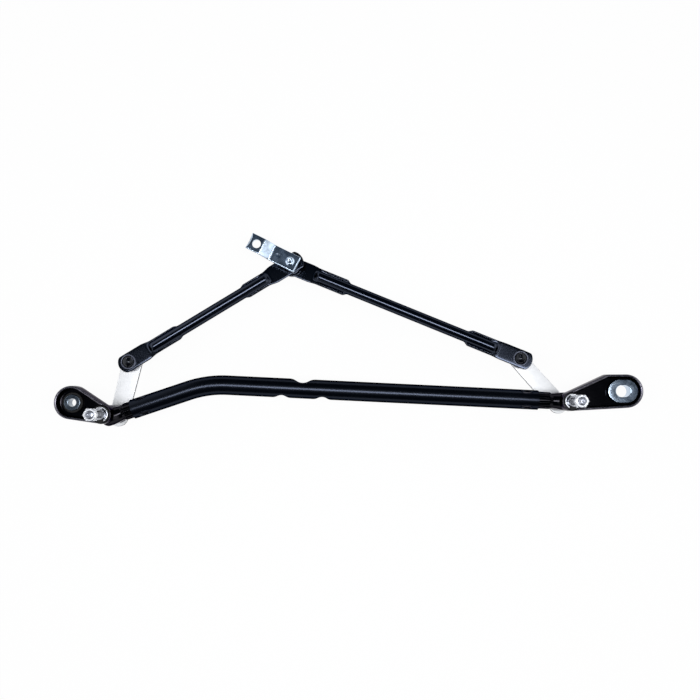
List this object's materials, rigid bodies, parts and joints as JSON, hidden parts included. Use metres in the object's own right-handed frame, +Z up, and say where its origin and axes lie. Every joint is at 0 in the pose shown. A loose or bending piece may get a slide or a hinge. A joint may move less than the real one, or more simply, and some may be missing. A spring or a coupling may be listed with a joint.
{
  "type": "wiper linkage",
  "caption": "Windscreen wiper linkage: a bent tubular frame with cast pivot housings at its ends, levers on turning shafts, ball-jointed pressed link rods and a stepped crank arm.",
  "frame": {"origin": "axis of the left mounting sleeve, at its lower seat", "axes": "+X along the frame to the right mount, +Y across the frame towards the crank, +Z up along the pivot shafts to the arm nuts"},
  "size_m": [0.6494, 0.2235, 0.1203],
  "materials": {
    "tube_paint": "semi-gloss black paint",
    "link_paint": "semi-gloss black paint on pressed sheet",
    "cast_black": "black coated die casting",
    "zinc": "bright zinc plate",
    "bright_steel": "turned steel",
    "bronze": "sintered bronze",
    "rubber": "matt black",
    "plastic": "moulded black"
  },
  "bodies": {
    "frame": {"frame_tube": "tube_paint", "left_pivot_housing": "cast_black", "right_pivot_housing": "cast_black", "left_grommet": "rubber", "right_grommet": "rubber", "left_mount_sleeve": "zinc", "right_mount_sleeve": "zinc", "left_upper_bush": "bronze", "left_lower_bush": "bronze", "right_upper_bush": "bronze", "right_lower_bush": "bronze", "left_shaft_seal": "rubber", "right_shaft_seal": "rubber"},
    "left_rocker": {"left_pivot_shaft": "bright_steel", "left_lever": "zinc", "left_lever_ball": "bright_steel", "left_arm_nut": "zinc", "left_retaining_clip": "zinc", "left_thrust_washer": "plastic", "left_lower_washer": "plastic"},
    "right_rocker": {"right_pivot_shaft": "bright_steel", "right_lever": "zinc", "right_lever_ball": "bright_steel", "right_arm_nut": "zinc", "right_retaining_clip": "zinc", "right_thrust_washer": "plastic", "right_lower_washer": "plastic"},
    "left_link": {"left_link_rod": "link_paint", "left_link_lever_socket": "plastic", "left_link_crank_socket": "plastic"},
    "right_link": {"right_link_rod": "link_paint", "right_link_lever_socket": "plastic", "right_link_crank_cup": "plastic"},
    "crank": {"crank_arm": "zinc", "crank_ball_stud": "bright_steel"}
  },
  "joints": [
    {"name": "left_pivot", "type": "hinge", "parent": "frame", "child": "left_rocker", "pos_m": [0.0342, -0.013, 0], "axis": [0, 0, 1], "range_deg": [-40, 0]},
    {"name": "right_pivot", "type": "hinge", "parent": "frame", "child": "right_rocker", "pos_m": [0.5512, 0.0017, 0], "axis": [0, 0, 1], "range_deg": [-32, 0]},
    {"name": "left_link_ball", "type": "hinge", "parent": "left_rocker", "child": "left_link", "pos_m": [0.0484, 0.04776, -0.0348], "axis": [0, 0, 1], "range_deg": [0, 46]},
    {"name": "right_link_ball", "type": "hinge", "parent": "right_rocker", "child": "right_link", "pos_m": [0.50663, 0.05199, -0.0348], "axis": [0, 0, 1], "range_deg": [0, 36]},
    {"name": "crank_spin", "type": "hinge", "parent": "left_link", "child": "crank", "pos_m": [0.23755, 0.16368, -0.0348], "axis": [0, 0, 1], "continuous": true}
  ],
  "couplings": [
    {"joint": "right_pivot", "follows": "left_pivot", "ratio": 0.787},
    {"joint": "left_link_ball", "follows": "left_pivot", "ratio": -1.146},
    {"joint": "right_link_ball", "follows": "left_pivot", "ratio": -0.891}
  ]
}
